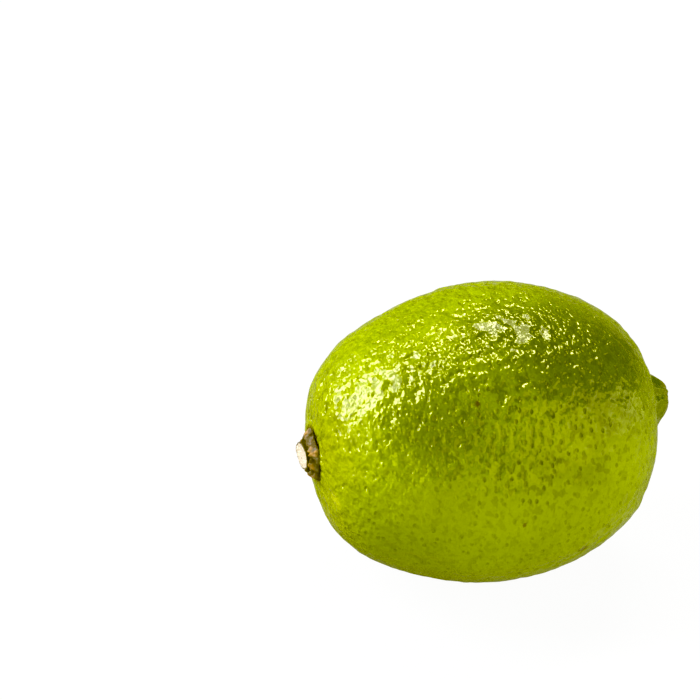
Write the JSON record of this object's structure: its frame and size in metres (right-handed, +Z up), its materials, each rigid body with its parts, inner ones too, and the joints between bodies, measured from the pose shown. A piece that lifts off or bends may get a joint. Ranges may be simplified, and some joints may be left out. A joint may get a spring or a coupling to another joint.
{
  "type": "lime",
  "caption": "Whole green lime lying on its side, a plump oval fruit with a short nipple at one end and a dry five-lobed stem button at the other.",
  "frame": {"origin": "the centre of the bounding box's underside, in the plane of the flat spot that the fruit rests on", "axes": "+X along the fruit's long axis from the stem button to the nipple, +Z up from the resting side, +Y across the fruit"},
  "size_m": [0.0654, 0.0518, 0.0511],
  "materials": {
    "peel": "waxy glossy citrus peel, yellow-green and darker green, with oil-gland pits",
    "dry_stem": "dry, rough, woody grey-brown calyx with a pale cut stalk"
  },
  "bodies": {
    "root": {"lime_fruit": "peel", "stem_button": "dry_stem"}
  },
  "joints": []
}
